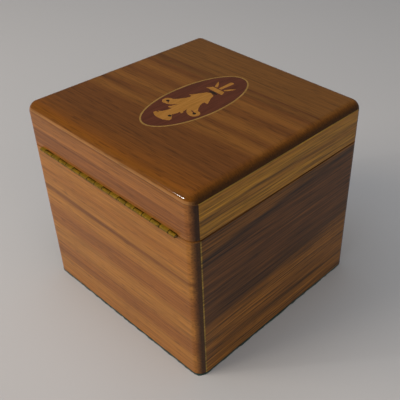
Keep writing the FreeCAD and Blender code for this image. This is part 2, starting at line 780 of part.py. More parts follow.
def hinge_pieces():
    lower = hinge_leaf("hinge_leaf_body")
    place_hinge(lower)
    upper = hinge_leaf("hinge_leaf_lid")
    place_hinge(upper, turn=180)
    screws = [hinge_screws("hinge_screws_body", 0), hinge_screws("hinge_screws_lid", 180)]
    return [lower, upper, hinge_pin()] + screws


# Lock and strike

def place_lock(piece, level=RIM):
    place(piece, y=f"{BOARD} - {HALF_DEPTH}", z=level)


def lock_screw_places():
    return [(f"{side} * {LOCK_SCREW_X}", LOCK_SCREW_LEVEL) for side in (-1, 1)]


def lock_plate():
    """A plate let into the front board, bent inwards at the rim, where two slots take the hooks."""
    body = new_body("lock_plate")
    section = new_sketch(body, "section", "YZ_Plane")
    face = "-dims.hook_clearance"
    back = f"-{LOCK_RECESS}"
    under = "-dims.plate_thickness"
    polygon(section, [
        (back, "0"), (back, f"-{LOCK_DROP}"), (face, f"-{LOCK_DROP}"),
        (face, under), (CASE_DEPTH, under), (CASE_DEPTH, "0"),
    ])
    feature(body, "Pad", section, f"2 * {LOCK_HALF}", both_ways=True)
    slots = new_sketch(body, "hook_slots", "XY_Plane")
    stem = "dims.hook_stem_width / 2 + dims.hook_clearance"
    for hook in HOOKS:
        left = f"{hook} - ({stem})"
        right = f"{hook} + {stem} + dims.hook_foot_length"
        rectangle(slots, left, right, face, "dims.plate_thickness + dims.hook_clearance")
    feature(body, "Pocket", slots, "dims.plate_thickness")
    keyhole(body, "keyhole", "Pocket", LOCK_RECESS, f"-{KEY_LEVEL}", "0", "dims.plate_thickness")
    centres = [(x, f"-{z}") for x, z in lock_screw_places()]
    plate = "dims.plate_thickness"
    screw_holes(body, "screw_holes", "XZ_Plane", "dims.hook_clearance", centres, plate, reverse=True)
    place_lock(body)
    return body


def lock_cover():
    """A pressed tray over the works, open at the top under the bent edge of the plate."""
    body = new_body("lock_cover")
    face = "dims.hook_clearance"
    outline = new_sketch(body, "outline", "XZ_Plane", face)
    rectangle(outline, f"-{CASE_HALF}", CASE_HALF, f"-{CASE_DROP}", "-dims.plate_thickness")
    feature(body, "Pad", outline, f"{CASE_DEPTH} + {face}", reverse=True)
    hollow = new_sketch(body, "hollow", "XZ_Plane", face)
    inner = f"({CASE_HALF} - dims.cover_wall)"
    rectangle(hollow, f"-{inner}", inner, f"dims.cover_wall - {CASE_DROP}", "dims.plate_thickness")
    feature(body, "Pocket", hollow, f"{COVER_FACE} + {face}")
    outside = size(CASE_DEPTH)
    top = -size("dims.plate_thickness")
    round_edges(
        body, "pressed", "dims.cover_rounding",
        lambda spot: at(spot.y, outside) and not at(spot.z, top),
    )
    place_lock(body)
    return body


def lock_bolt():
    """The bolt, drawn back: two noses on uprights, two slots for its studs and two lugs for the key."""
    body = new_body("lock_bolt")
    outline = new_sketch(body, "outline", "XZ_Plane", "dims.bolt_clearance")
    nose = "(dims.hook_foot_length - dims.bolt_clearance)"
    talon = "dims.bolt_travel / 2"
    lug_foot = f"-({BAR_FOOT} + dims.bolt_lug_drop)"
    nose_top = f"-({NOSE_FOOT} - dims.bolt_nose_height)"
    corners = [(HOOK_ONE, f"-{BAR_TOP}"), (HOOK_ONE, f"-{BAR_FOOT}")]
    left_lug = f"({talon} - dims.talon_width / 2 - dims.bolt_lug_width)"
    right_lug = f"({talon} + dims.talon_width / 2)"
    for lug in (left_lug, right_lug):
        end = f"{lug} + dims.bolt_lug_width"
        corners += [(lug, f"-{BAR_FOOT}"), (lug, lug_foot), (end, lug_foot), (end, f"-{BAR_FOOT}")]
    corners.append((f"{HOOK_TWO} + {UPRIGHT_END}", f"-{BAR_FOOT}"))
    for hook in reversed(HOOKS):
        stem = f"{hook} + {NOSE_REACH}"
        corners += [
            (f"{hook} + {UPRIGHT_END}", f"-{BAR_TOP}"), (f"{hook} + {UPRIGHT_END}", nose_top),
            (f"{stem} - {nose}", nose_top), (f"{stem} - {nose}", f"-{NOSE_FOOT}"),
            (stem, f"-{NOSE_FOOT}"), (stem, f"-{BAR_TOP}"),
        ]
    polygon(outline, corners)
    for stud in (STUD_ONE, STUD_TWO):
        left = f"{stud} - {STUD_PLAY}"
        right = f"{stud} + {STUD_PLAY} + dims.bolt_travel"
        rectangle(outline, left, right, f"-({STUD_LEVEL} + {STUD_PLAY})", f"{STUD_PLAY} - {STUD_LEVEL}")
    feature(body, "Pad", outline, "dims.bolt_thickness", reverse=True)
    place_lock(body)
    return body


def lock_studs():
    """Two studs between plate and cover that carry the bolt."""
    body = new_body("lock_studs")
    section = new_sketch(body, "section", "XZ_Plane", "dims.hook_clearance")
    for stud in (STUD_ONE, STUD_TWO):
        circle(section, stud, f"-{STUD_LEVEL}", "dims.stud_radius")
    feature(body, "Pad", section, f"{COVER_FACE} + dims.hook_clearance", reverse=True)
    place_lock(body)
    return body


def lock_spring():
    """A bowed strip between cover and bolt that keeps the bolt where the key leaves it."""
    body = new_body("lock_spring")
    half_chord = f"(({STUD_TWO} - {STUD_ONE}) / 2 - {STUD_PLAY} - dims.hook_clearance)"
    radius = f"(({half_chord} * {half_chord} / dims.spring_bow + dims.spring_bow) / 2)"
    section = new_sketch(body, "section", "YZ_Plane")
    half_height = "(dims.spring_height / 2)"
    rectangle(section, f"-{radius}", f"dims.spring_thickness - {radius}", f"-{half_height}", half_height)
    bow = body.newObject("PartDesign::Revolution", "lock_spring_bow")
    bow.Profile = section
    bow.ReferenceAxis = (origin_part(body, "Z_Axis"), [""])
    bow.Midplane = True
    bow.setExpression("Angle", f"2 * asin({half_chord} / {radius})")
    body.Tip = bow
    between = f"({STUD_ONE} + {STUD_TWO}) / 2"
    turning_point = f"{BOARD} - {HALF_DEPTH} + {BOLT_BACK} + dims.spring_clearance + {radius}"
    place(body, between, turning_point, f"{RIM} - {STUD_LEVEL}")
    return body


def lock_key_post():
    """The post on which a hollow key turns, riveted in the cover."""
    body = new_body("lock_key_post")
    setback = f"({BOARD} - dims.key_post_setback)"
    section = new_sketch(body, "section", "XZ_Plane", setback)
    circle(section, "0", f"-{KEY_LEVEL}", "dims.key_post_radius")
    feature(body, "Pad", section, f"{COVER_FACE} + {setback}", reverse=True)
    place_lock(body)
    return body


def keyhole_liner():
    """A brass liner let flush into the front of the keyhole."""
    body = new_body("keyhole_liner")
    level = f"-{KEY_LEVEL}"
    keyhole(body, "outside", "Pad", BOARD, level, "dims.liner_width", "dims.liner_depth", reverse=True)
    keyhole(body, "inside", "Pocket", BOARD, level, "0", "dims.liner_depth")
    place_lock(body)
    return body


def strike_plate():
    """A plate on the front rail of the lid whose two hooks hang through the rim into the lock."""
    body = new_body("strike_plate")
    outline = new_sketch(body, "outline", "XZ_Plane")
    corners = [(f"-{CASE_HALF}", "0"), (f"-{CASE_HALF}", "dims.strike_height")]
    corners += [(CASE_HALF, "dims.strike_height"), (CASE_HALF, "0")]
    foot_top = "dims.hook_foot_height - dims.hook_length"
    for hook in reversed(HOOKS):
        right = f"{hook} + dims.hook_stem_width / 2"
        left = f"{hook} - dims.hook_stem_width / 2"
        toe = f"{right} + dims.hook_foot_length"
        corners += [(right, "0"), (right, foot_top), (toe, foot_top)]
        corners += [(toe, "-dims.hook_length"), (left, "-dims.hook_length"), (left, "0")]
    polygon(outline, corners)
    feature(body, "Pad", outline, "dims.plate_thickness", reverse=True)
    centres = [(x, STRIKE_SCREW_LEVEL) for x in (f"-{STRIKE_SCREW_X}", STRIKE_SCREW_X)]
    plate = "dims.plate_thickness"
    screw_holes(body, "screw_holes", "XZ_Plane", f"-{plate}", centres, plate, reverse=True)
    place_lock(body, LID_FOOT)
    return body


def face_screws(label, length, reach, head, level):
    """A pair of screws driven towards the front, one on each side of the middle."""
    body = wood_screws(label, length, "2", f"2 * {reach}", "dims.plate_thickness")
    place(body, f"-{reach}", head, level, axis=(1, 0, 0), turn=-90)
    return body


def lock_screws():
    head = f"{BOARD} - {HALF_DEPTH} - dims.hook_clearance"
    level = f"{RIM} - {LOCK_SCREW_LEVEL}"
    return face_screws("lock_screws", LOCK_SCREW_LENGTH, LOCK_SCREW_X, head, level)


def strike_screws():
    head = f"{BOARD} - {HALF_DEPTH} + dims.plate_thickness"
    level = f"{LID_FOOT} + {STRIKE_SCREW_LEVEL}"
    return face_screws("strike_screws", STRIKE_SCREW_LENGTH, STRIKE_SCREW_X, head, level)


def build():
    pieces = rounded_over({
        "body_front_board": body_front_board(), "body_back_board": body_back_board(),
        "body_left_board": body_side_board("left", 0), "body_right_board": body_side_board("right", 180),
    }, box_outside())
    pieces += rounded_over({
        "lid_top_board": lid_top_board(), "lid_front_rail": lid_front_rail(), "lid_back_rail": lid_back_rail(),
        "lid_left_rail": lid_side_rail("lid_left", 0), "lid_right_rail": lid_side_rail("lid_right", 180),
    }, lid_outside())
    pieces += [base_board(), base_baize()]
    pieces += inlay_pieces()
    pieces += hinge_pieces()
    pieces += [
        lock_plate(), lock_cover(), lock_bolt(), lock_studs(), lock_spring(), lock_key_post(),
        lock_screws(), keyhole_liner(), strike_plate(), strike_screws(),
    ]
    doc.recompute()
    return pieces


def check_features():
    """Stop if a feature failed, or if a cut took nothing away."""
    for made in doc.Objects:
        if "Invalid" in made.State or "Error" in made.State:
            raise RuntimeError(f"{made.Name} failed: {made.State}")
        if made.TypeId in ("PartDesign::Pocket", "PartDesign::Hole"):
            if made.Shape.Volume > made.BaseFeature.Shape.Volume - NEAR:
                raise RuntimeError(f"{made.Name} cuts nothing")


def write_pieces(pieces):
    os.makedirs("parts", exist_ok=True)
    for piece in pieces:
        shape = piece.Shape
        if shape.isNull() or not shape.isValid():
            raise RuntimeError(f"{piece.Label} has no valid shape")
    for piece in pieces:
        piece.Shape.exportStep(f"parts/{piece.Label}.step")
        print(piece.Label, len(piece.Shape.Solids), round(piece.Shape.Volume, 1))


pieces = build()
check_features()
write_pieces(pieces)
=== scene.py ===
# %% [markdown]
# A lacquered walnut money box: a near cube of thin boards with a lid on a brass piano hinge,
# an oval of marquetry in the top and green baize underneath.
# The construction comes in as a fixed frame, in metres, and never moves or changes here.
# This lesson dresses it: each step says what a piece is, how it could be made and why it is made this way.

# %% Load the frame
import json
import math

import bmesh
import bpy
from mathutils import Matrix, Vector, noise

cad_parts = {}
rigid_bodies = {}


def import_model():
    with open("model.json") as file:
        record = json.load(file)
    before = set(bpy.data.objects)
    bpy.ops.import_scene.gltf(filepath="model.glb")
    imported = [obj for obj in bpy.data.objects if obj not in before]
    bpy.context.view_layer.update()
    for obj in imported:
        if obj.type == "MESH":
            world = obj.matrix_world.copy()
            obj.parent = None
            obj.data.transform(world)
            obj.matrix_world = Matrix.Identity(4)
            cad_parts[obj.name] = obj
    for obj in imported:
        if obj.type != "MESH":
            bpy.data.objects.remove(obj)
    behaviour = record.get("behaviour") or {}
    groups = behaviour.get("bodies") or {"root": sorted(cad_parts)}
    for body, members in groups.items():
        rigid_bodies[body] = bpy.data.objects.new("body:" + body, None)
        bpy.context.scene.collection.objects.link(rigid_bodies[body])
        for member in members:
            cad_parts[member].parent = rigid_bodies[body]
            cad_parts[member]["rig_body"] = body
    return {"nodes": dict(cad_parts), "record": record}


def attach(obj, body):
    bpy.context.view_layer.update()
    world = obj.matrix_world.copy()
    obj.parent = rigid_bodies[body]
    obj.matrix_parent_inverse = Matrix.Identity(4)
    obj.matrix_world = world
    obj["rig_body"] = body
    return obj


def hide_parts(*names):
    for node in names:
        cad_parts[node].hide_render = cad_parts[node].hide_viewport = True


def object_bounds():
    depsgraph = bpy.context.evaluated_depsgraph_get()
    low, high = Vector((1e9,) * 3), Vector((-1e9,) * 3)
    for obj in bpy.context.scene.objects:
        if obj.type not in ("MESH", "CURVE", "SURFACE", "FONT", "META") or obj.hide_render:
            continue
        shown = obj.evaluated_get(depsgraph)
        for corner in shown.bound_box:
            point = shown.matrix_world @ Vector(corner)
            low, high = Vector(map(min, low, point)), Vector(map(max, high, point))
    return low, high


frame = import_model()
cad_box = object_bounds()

MM = 0.001
UP = Vector((0, 0, 1))
cad_size = [round(side / MM, 1) for side in cad_box[1] - cad_box[0]]
print("frame:", len(frame["nodes"]), "nodes,", cad_size, "mm")

# %% [markdown]
# The camera comes first, because every later choice is judged through it.
# The box is seen from behind, over the corner between its back and its left side, from about 37 degrees up.
# The picture was cropped off its centre, so the lens is shifted by the same share of the frame.

# %% Camera
FRAME_PIXELS = 400
SENSOR_WIDTH = 36
FOCAL_PIXELS = 640.5
PRINCIPAL_POINT = (264.43, 206.71)
NEAREST = 10 * MM
CAMERA_PLACE = Vector((-236.53, 215.8, 289.39)) * MM
CAMERA_AZIMUTH = math.radians(220.553)
CAMERA_ELEVATION = math.radians(37.038)
CAMERA_ROLL = math.radians(1.871)

lens = bpy.data.cameras.new("photo_lens")
lens.sensor_width = SENSOR_WIDTH
lens.lens = SENSOR_WIDTH * FOCAL_PIXELS / FRAME_PIXELS
lens.shift_x = 0.5 - PRINCIPAL_POINT[0] / FRAME_PIXELS
lens.shift_y = PRINCIPAL_POINT[1] / FRAME_PIXELS - 0.5
lens.clip_start = NEAREST
camera = bpy.data.objects.new("photo_camera", lens)
turn = Matrix.Rotation(CAMERA_AZIMUTH, 4, "Z")
tilt = Matrix.Rotation(math.pi / 2 - CAMERA_ELEVATION, 4, "X")
roll = Matrix.Rotation(CAMERA_ROLL, 4, "Z")
camera.matrix_world = Matrix.Translation(CAMERA_PLACE) @ turn @ tilt @ roll
bpy.context.scene.collection.objects.link(camera)
bpy.context.scene.camera = camera
bpy.context.scene.view_settings.view_transform = "Standard"
print("camera:", round(lens.lens, 1), "mm lens, shift", round(lens.shift_x, 3), round(lens.shift_y, 3))

# %% [markdown]
# A finish is a small network of nodes. Three helpers are enough for all of them:
# one turns a hex colour into the linear numbers that a shader wants,
# one adds a node with its settings and links,
# and one starts a material whose patterns are measured in millimetres of the object itself.

# %% Helpers for finishes
# A Mix node has several sockets of one name, so those for colours go by number.
MIX_FROM, MIX_TO, MIX_RESULT = 6, 7, 2


def linear(hex_colour):
    """The linear colour of an sRGB hex value such as 8f643e, by the sRGB curve."""
    shares = [int(hex_colour[place:place + 2], 16) / 255 for place in (0, 2, 4)]
    return [s / 12.92 if s <= 0.04045 else ((s + 0.055) / 1.055) ** 2.4 for s in shares] + [1]


def add(tree, kind, inputs=None, stops=(), **settings):
    """A node with its settings and its ramp's stops; an input is a value or the output it is linked to."""
    made = tree.nodes.new(kind)
    for name, value in settings.items():
        setattr(made, name, value)
    # A new ramp has two stops already.
    for _ in stops[2:]:
        made.color_ramp.elements.new(1)
    for number, (place, colour) in enumerate(stops):
        made.color_ramp.elements[number].position = place
        made.color_ramp.elements[number].color = linear(colour)
    for socket, value in (inputs or {}).items():
        if isinstance(value, bpy.types.NodeSocket):
            tree.links.new(value, made.inputs[socket])
        else:
            made.inputs[socket].default_value = value
    return made


def start_material(name, **constants):
    """A material, its shader with constant sockets set, its place in millimetres and its own normal."""
    material = bpy.data.materials.new(name)
    material.use_nodes = True
    tree = material.node_tree
    shader = tree.nodes["Principled BSDF"]
    for socket, value in constants.items():
        shader.inputs[socket.replace("_", " ")].default_value = value
    place = add(tree, "ShaderNodeTexCoord")
    scaled = add(tree, "ShaderNodeMapping", {"Vector": place.outputs["Object"], "Scale": (1 / MM,) * 3})
    return material, tree, shader, scaled.outputs["Vector"], place.outputs["Normal"]


print("helpers for finishes ready")

# %% [markdown]
# Walnut is sawn from a trunk, so its figure runs right through a board: long streaks on the faces, dots on the ends.
# Painting each face apart would break at the corners. A solid pattern in object space doesn't:
# noise is stretched along the grain, and every face cuts through the same streaks.
# Streaks a few millimetres wide, finer fibres and short dark pores lie over one another.
# Real fibres are about 0.1 mm wide and pores 0.2 mm, too fine for this picture, so both are drawn coarser.

# %% Grain of the walnut
# Sizes are a length along the grain and a width across it, in millimetres.
STREAK_SIZE = (170, 3.2)
FIBRE_SIZE = (40, 0.85)
PORE_SIZE = (9, 0.7)
STREAK_SEED, FIBRE_SEED, PORE_SEED = 11, 23, 37
GRAIN_DETAIL = 3
GRAIN_ROUGHNESS = 0.6
# A swing is how far a pattern brightens and darkens the wood, as a share of the board's contrast.
STREAK_SWING = 0.5
FIBRE_SWING = 3
LINE_DEPTH = 0.5
# An edge is the pair of noise levels between which a dark line or pore fades out.
LINE_EDGE = (0.3, 0.4)
PORE_EDGE = (0.24, 0.38)
PORE_SHADE = 0.72


def along_grain(tree, place, spot, detail, seed):
    """Noise from 0 to 1 whose spots have a length and a width, in millimetres."""
    length, width = spot
    stretched = add(tree, "ShaderNodeMapping", {
        "Vector": place, "Location": (seed, seed, seed), "Scale": (1 / length, 1 / width, 1 / width),
    })
    return add(tree, "ShaderNodeTexNoise", {
        "Vector": stretched.outputs["Vector"], "Scale": 1, "Detail": detail, "Roughness": GRAIN_ROUGHNESS,
    }).outputs["Fac"]


def grain_tone(tree, place, streaks, seed, contrast):
    """How bright the wood is from spot to spot, about 1, and its fibres alone."""
    fibres = along_grain(tree, place, FIBRE_SIZE, GRAIN_DETAIL, seed + FIBRE_SEED)
    spots = along_grain(tree, place, PORE_SIZE, 0, seed + PORE_SEED)
    broad = add(tree, "ShaderNodeMath", {
        0: streaks, 1: STREAK_SWING * contrast, 2: 1 - STREAK_SWING * contrast / 2,
    }, operation="MULTIPLY_ADD")
    lines = add(tree, "ShaderNodeMapRange", {
        "Value": streaks, "From Min": LINE_EDGE[0], "From Max": LINE_EDGE[1],
        "To Min": 1 - LINE_DEPTH * contrast, "To Max": 1,
    })
    fine = add(tree, "ShaderNodeMath", {
        0: fibres, 1: FIBRE_SWING * contrast, 2: 1 - FIBRE_SWING * contrast / 2,
    }, operation="MULTIPLY_ADD")
    pores = add(tree, "ShaderNodeMapRange", {
        "Value": spots, "From Min": PORE_EDGE[0], "From Max": PORE_EDGE[1], "To Min": PORE_SHADE, "To Max": 1,
    })
    tone = broad.outputs["Value"]
    for layer in (lines.outputs["Result"], fine.outputs["Value"], pores.outputs["Result"]):
        tone = add(tree, "ShaderNodeMath", {0: tone, 1: layer}, operation="MULTIPLY").outputs["Value"]
    return tone, fibres


print("grain: streaks", STREAK_SIZE, "fibres", FIBRE_SIZE, "pores", PORE_SIZE, "mm")

# %% [markdown]
# Each board has its own heartwood and sapwood, so a ramp of tones runs across its grain.
# A slow wave bends it a little, and the streaks pull its borders out into long tongues, as in a sawn board.

# %% Tones across a board
WAVE_SIZE = (260, 40)
WAVE_HEIGHT = 5
TONGUES = 8


def tones_across(tree, place, tones, across, streaks, seed):
    """The colour of a board by its place across the grain; a tone is a level in millimetres and a colour."""
    low, high = tones[0][0], tones[-1][0]
    level = add(tree, "ShaderNodeVectorMath", {0: place, 1: across}, operation="DOT_PRODUCT").outputs["Value"]
    wave = along_grain(tree, place, WAVE_SIZE, 1, seed)
    for bend, height in ((wave, WAVE_HEIGHT), (streaks, TONGUES)):
        bent = add(tree, "ShaderNodeMath", {0: bend, 1: height, 2: level}, operation="MULTIPLY_ADD")
        level = bent.outputs["Value"]
    # Noise lies about one half, so the bends lift every level by half their height.
    lift = (WAVE_HEIGHT + TONGUES) / 2
    share = add(tree, "ShaderNodeMapRange", {"Value": level, "From Min": low + lift, "From Max": high + lift})
    stops = [((height - low) / (high - low), colour) for height, colour in tones]
    return add(tree, "ShaderNodeValToRGB", {"Fac": share.outputs["Result"]}, stops).outputs["Color"]


print("tones: bent by", WAVE_HEIGHT, "mm, tongues of", TONGUES, "mm")

# %% [markdown]
# Some colours follow the board's shape instead of its grain. End grain soaks up lacquer and goes dark.
# The rounded edge of the top gets a warm orange tint: a painted glow that stands in for the light its glossy roundover
# catches.
# A glued joint shows as a thin pale or brown line, and painted shade darkens the seam where the lid shuts, as a
# near-black band on both sides of the gap.
# All of them are read from the board's own normals and places, so they stay put when the lid opens.

# %% Lacquered walnut
LACQUER = {"Roughness": 0.5, "Coat_Weight": 0.4, "Coat_Roughness": 0.08, "Specular_IOR_Level": 0.1}
END_GRAIN = "42260a"
# How far a face must turn before a tint starts, and where it is full: 0 is not at all, 1 is square on.
END_TURN = (0.42, 0.85)
# Where the painted glow on the top's rounded edge sets in, and where it is full.
PAINTED_GLOW_TURN = (0.01, 0.25)
RELIEF_STRENGTH = 0.05
RELIEF_HEIGHT = 0.1 * MM


def walnut(
        name, tones, seed, across=UP, along="X", contrast=0.5,
        ends=END_GRAIN, painted_glow=None, under=(), lines=()):
    """Lacquered walnut: deep brown, streaked along its grain, under a clear glossy film."""
    material, tree, shader, place, normal = start_material(name, **LACQUER)
    if along == "Y":
        turn = {"Rotation": (0, 0, -math.pi / 2)}
        place = add(tree, "ShaderNodeMapping", {"Vector": place, **turn}).outputs["Vector"]
        normal = add(tree, "ShaderNodeMapping", {"Vector": normal, **turn}).outputs["Vector"]
    streaks = along_grain(tree, place, STREAK_SIZE, GRAIN_DETAIL, seed + STREAK_SEED)
    colour = tones_across(tree, place, tones, across, streaks, seed)
    facing = add(tree, "ShaderNodeSeparateXYZ", {"Vector": normal})
    end_on = add(tree, "ShaderNodeMath", {0: facing.outputs["X"]}, operation="ABSOLUTE").outputs["Value"]
    level_on = add(tree, "ShaderNodeMath", {0: facing.outputs["Z"]}, operation="ABSOLUTE").outputs["Value"]
    upright = add(tree, "ShaderNodeMath", {0: 1, 1: level_on}, operation="SUBTRACT").outputs["Value"]

    def strip(direction, start, full, tint):
        """A tint on upright faces that sets in between two levels along a direction."""
        level = add(tree, "ShaderNodeVectorMath", {0: place, 1: direction}, operation="DOT_PRODUCT")
        return tint, add(tree, "ShaderNodeMapRange", {
            "Value": level.outputs["Value"], "From Min": start, "From Max": full, "To Max": upright,
        })

    def turned(amount, span, tint):
        """A tint that sets in as a face turns."""
        return tint, add(tree, "ShaderNodeMapRange", {"Value": amount, "From Min": span[0], "From Max": span[1]})

    # This first layer is a painted glow on the top's rounded edge, not a colour of the wood.
    layers = [turned(upright, PAINTED_GLOW_TURN, painted_glow)] if painted_glow else []
    layers += [strip(*line) for line in under]
    layers.append(turned(end_on, END_TURN, ends))
    layers += [strip(*line) for line in lines]
    for tint, share in layers:
        colour = add(tree, "ShaderNodeMix", {
            0: share.outputs["Result"], MIX_FROM: colour, MIX_TO: linear(tint),
        }, data_type="RGBA").outputs[MIX_RESULT]
    tone, fibres = grain_tone(tree, place, streaks, seed, contrast)
    shaded = add(tree, "ShaderNodeVectorMath", {0: colour, "Scale": tone}, operation="SCALE")
    tree.links.new(shaded.outputs["Vector"], shader.inputs["Base Color"])
    relief = add(tree, "ShaderNodeBump", {
        "Height": fibres, "Strength": RELIEF_STRENGTH, "Distance": RELIEF_HEIGHT,
    })
    tree.links.new(relief.outputs["Normal"], shader.inputs["Normal"])
    return material


print("walnut ready to cut into boards")

# %% [markdown]
# The tones are those of each board as it was cut, by height or depth in millimetres: the back is light and warm,
# the lid's back a little pinker, the left side has dark heartwood over a paler third, and the top is deep brown.
# A few named tones per board come back in turn, as the rings of one plank do.

# %% Planks
BACK_PALE, BACK_MID, BACK_DARK, BACK_VEIN = "a16b2c", "986126", "8b5622", "76471a"
BACK_TONES = [
    (0, BACK_MID), (14, BACK_PALE), (19, BACK_DARK), (24, BACK_DARK), (32, BACK_PALE), (40, BACK_PALE),
    (46, BACK_DARK), (56, BACK_DARK), (62, BACK_PALE), (66, BACK_PALE), (68.5, BACK_VEIN), (71, BACK_PALE),
    (82, BACK_MID), (90, BACK_PALE), (97, BACK_MID),
]
LID_PALE, LID_MID, LID_DARK, LID_VEIN = "98612c", "8f5b28", "855124", "754721"
LID_BACK_TONES = [
    (96, LID_PALE), (100, LID_DARK), (106, LID_DARK), (109, LID_PALE), (115, LID_MID), (117, LID_VEIN),
    (118, LID_PALE),
]
SAPWOOD, SAPWOOD_DARK = "835416", "734810"
HEARTWOOD, HEARTWOOD_DARK, HEARTWOOD_VEIN, HEARTWOOD_RIM = "573410", "4a2c0a", "351e06", "653f0f"
LEFT_TONES = [
    (-6, SAPWOOD_DARK), (8, SAPWOOD), (20, SAPWOOD_DARK), (30, SAPWOOD), (38, SAPWOOD_DARK),
    (43, HEARTWOOD_DARK), (60, HEARTWOOD), (85, HEARTWOOD), (88, HEARTWOOD_VEIN), (91, HEARTWOOD_RIM),
    (97, HEARTWOOD_RIM), (103, HEARTWOOD),
]
RAIL_PALE, RAIL_DARK = "996d1b", "835816"
LID_LEFT_TONES = [(94, RAIL_DARK), (102, RAIL_PALE), (107, RAIL_DARK), (112, RAIL_PALE), (120, RAIL_DARK)]
TOP_PALE, TOP_MID, TOP_DARK, TOP_VEIN, TOP_RIM = "74491b", "654018", "5d3613", "502d10", "6b3d0f"
TOP_TONES = [
    (-70, TOP_MID), (-30, TOP_MID), (-28, TOP_VEIN), (-25, TOP_MID), (-20, TOP_DARK), (-13, TOP_PALE),
    (-4, TOP_DARK), (6, TOP_PALE), (12, TOP_DARK), (19, TOP_PALE), (26, TOP_DARK), (48, TOP_DARK),
    (60, TOP_RIM), (70, TOP_RIM),
]
BASE_PALE, BASE_DARK = "7c5329", "6b4421"
BASE_TONES = [(-70, BASE_PALE), (-30, BASE_DARK), (5, BASE_PALE), (35, BASE_DARK), (70, BASE_PALE)]
SLANT = (0.08, 0, 1)
ACROSS_TOP = (-0.05, 1, 0)
print("planks: back", len(BACK_TONES), "left", len(LEFT_TONES), "top", len(TOP_TONES), "tones")

# %% [markdown]
# Boards meet in glued rebates, and the lid meets the body in an open seam.
# Each line is a direction, the level where its tint starts, the level where it is full, and the tint.
# The front and the right side, which turn away here, come from the same planks, further along.

# %% The walnut boards
LEFT_JOINT = ((1, 0, 0), 61.1, 61.5, "8a7028")
RAIL_JOINT = (UP, 117, 117.4, "94782a")
RAIL_SEAM = (UP, 117.3, 117.7, "6a4626")
TOP_FOOT = (UP, 119.3, 118.9, "a87848")
# The two seam tints are painted shade: near-black bands on the boards beside the gap where the lid shuts.
BODY_SEAM_SHADE = (UP, 95.7, 96.2, "180e06")
LID_SEAM_SHADE = (UP, 96.9, 96.5, "180e06")
# The last of these three tints is a painted glow on the top's rounded edge; the other two are dark end grain.
LID_ENDS, TOP_ENDS, TOP_PAINTED_GLOW = "341c06", "3e2408", "683c06"

woods = {
    "body_back_board": walnut("walnut_lacquered_back", BACK_TONES, seed=3, lines=[BODY_SEAM_SHADE]),
    "body_front_board": walnut("walnut_lacquered_front", BACK_TONES, seed=131, lines=[BODY_SEAM_SHADE]),
    "base_board": walnut("walnut_lacquered_base", BASE_TONES, seed=63, across=ACROSS_TOP),
    "lid_back_rail": walnut(
        "walnut_lacquered_lid_back", LID_BACK_TONES, seed=41, ends=LID_ENDS, lines=[RAIL_SEAM, LID_SEAM_SHADE]),
    "lid_front_rail": walnut(
        "walnut_lacquered_lid_front", LID_BACK_TONES, seed=173, ends=LID_ENDS, lines=[RAIL_SEAM, LID_SEAM_SHADE]),
    "lid_top_board": walnut(
        "walnut_lacquered_top", TOP_TONES, seed=9, across=ACROSS_TOP, contrast=0.35,
        ends=TOP_ENDS, painted_glow=TOP_PAINTED_GLOW, under=[TOP_FOOT]),
}
for hand, body_seed, lid_seed in (("left", 5, 77), ("right", 157, 191)):
    woods[f"body_{hand}_board"] = walnut(
        f"walnut_lacquered_{hand}", LEFT_TONES, body_seed, SLANT, along="Y", contrast=1.3,
        lines=[LEFT_JOINT, BODY_SEAM_SHADE])
    woods[f"lid_{hand}_rail"] = walnut(
        f"walnut_lacquered_lid_{hand}", LID_LEFT_TONES, lid_seed, along="Y", contrast=1.0,
        lines=[RAIL_JOINT, LID_SEAM_SHADE])
print("walnut finishes:", len(woods))

# %% [markdown]
# The oval is laid from veneers, thin leaves of finer woods: mahogany for the ground,
# boxwood for the leaf and the line, and dyed wood for the dark eyes.
# Veneer takes the same solid pattern with finer streaks, between two tones of one wood.

# %% Veneers
STREAK_STRETCH = 14
VENEER_EDGE = (0.3, 0.7)


def veneer(name, dark, light, width, seed):
    """Sawn veneer under lacquer: a fine streak between two tones of one wood, along Y."""
    material, tree, shader, place, _ = start_material(name, **LACQUER)
    turned = add(tree, "ShaderNodeMapping", {"Vector": place, "Rotation": (0, 0, -math.pi / 2)})
    streaks = along_grain(tree, turned.outputs["Vector"], (STREAK_STRETCH * width, width), GRAIN_DETAIL, seed)
    colour = add(tree, "ShaderNodeValToRGB", {"Fac": streaks}, list(zip(VENEER_EDGE, (dark, light))))
    tree.links.new(colour.outputs["Color"], shader.inputs["Base Color"])
    return material


finishes = {
    "mahogany": veneer("mahogany_veneer_lacquered", "44200f", "572c1a", width=1.2, seed=5),
    "boxwood": veneer("boxwood_veneer_lacquered", "84581c", "a06e30", width=0.9, seed=17),
    "stringing": veneer("boxwood_stringing_lacquered", "775a28", "94723c", width=0.9, seed=43),
    "ebony": veneer("ebonised_veneer_lacquered", "140e06", "241a0c", width=0.8, seed=29),
}
print("veneers:", sorted(finishes))

# %% [markdown]
# Old brass is tarnished in blotches, duller and rougher where hands don't rub it.
# On the hinge, painted shade darkens the gaps between the knuckles, which come every quarter of an inch along the
# barrel.
# A repeating distance along X finds the gaps, and a limit in Y keeps the painted shade on the barrel and off the flat
# leaves.

# %% Metals
KNUCKLE_PITCH = 6.35
# The colour of the painted shade in the knuckle gaps, and how far from a gap it fades out.
GAP_SHADE = "302408"
GAP_SHADE_EDGE = (0.4, 0.14)
BARREL_EDGE = (66.2, 66.6)
STAIN_DETAIL = 4
STAIN_EDGE = (0.38, 0.62)
TARNISH_EDGE = (0.35, 0.65)
TARNISH_ROUGHER = 0.15
TARNISH_DULLER = 0.3


